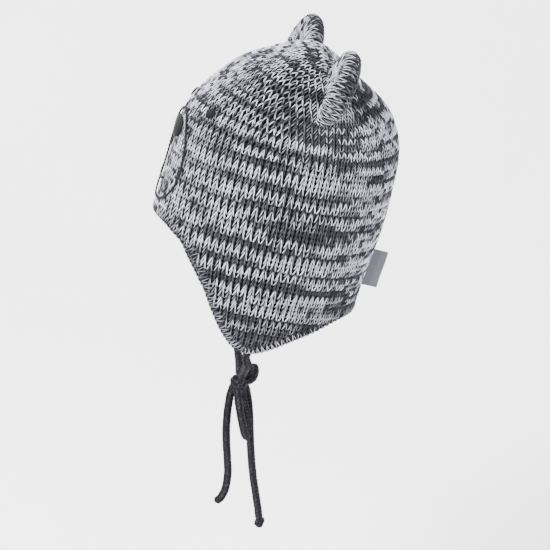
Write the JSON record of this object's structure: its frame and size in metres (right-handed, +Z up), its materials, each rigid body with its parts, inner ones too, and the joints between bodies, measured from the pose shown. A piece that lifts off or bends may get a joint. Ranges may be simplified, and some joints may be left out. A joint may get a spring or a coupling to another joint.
{
  "type": "knitted baby hat with ears",
  "caption": "Knitted baby helmet hat with ear flaps, round animal ears, an embroidered bear face, a folded nape label and chin ties knotted in a bow.",
  "frame": {"origin": "middle of the head's hollow at the height of the brow, where the hat sits on a head", "axes": "+Z up, -Y the way the face looks, +X to the wearer's left"},
  "size_m": [0.1312, 0.1595, 0.3457],
  "materials": {
    "yarn": "knitted two-ply grey mouline yarn",
    "tie_yarn": "knitted charcoal cord",
    "thread": "black satin-stitched thread",
    "label_ribbon": "folded woven ribbon"
  },
  "bodies": {
    "root": {"knit_cap": "yarn", "edge_band": "yarn", "ear_left": "yarn", "ear_right": "yarn", "eye_left": "thread", "eye_right": "thread", "nose": "thread", "muzzle_line": "thread", "lip_line": "thread", "mouth_line": "thread", "nape_label": "label_ribbon", "tie_left": "tie_yarn", "tie_right": "tie_yarn", "loop_long": "tie_yarn", "loop_short": "tie_yarn", "tail_left": "tie_yarn", "tail_right": "tie_yarn", "bow_knot": "tie_yarn", "end_knot": "tie_yarn"}
  },
  "joints": []
}
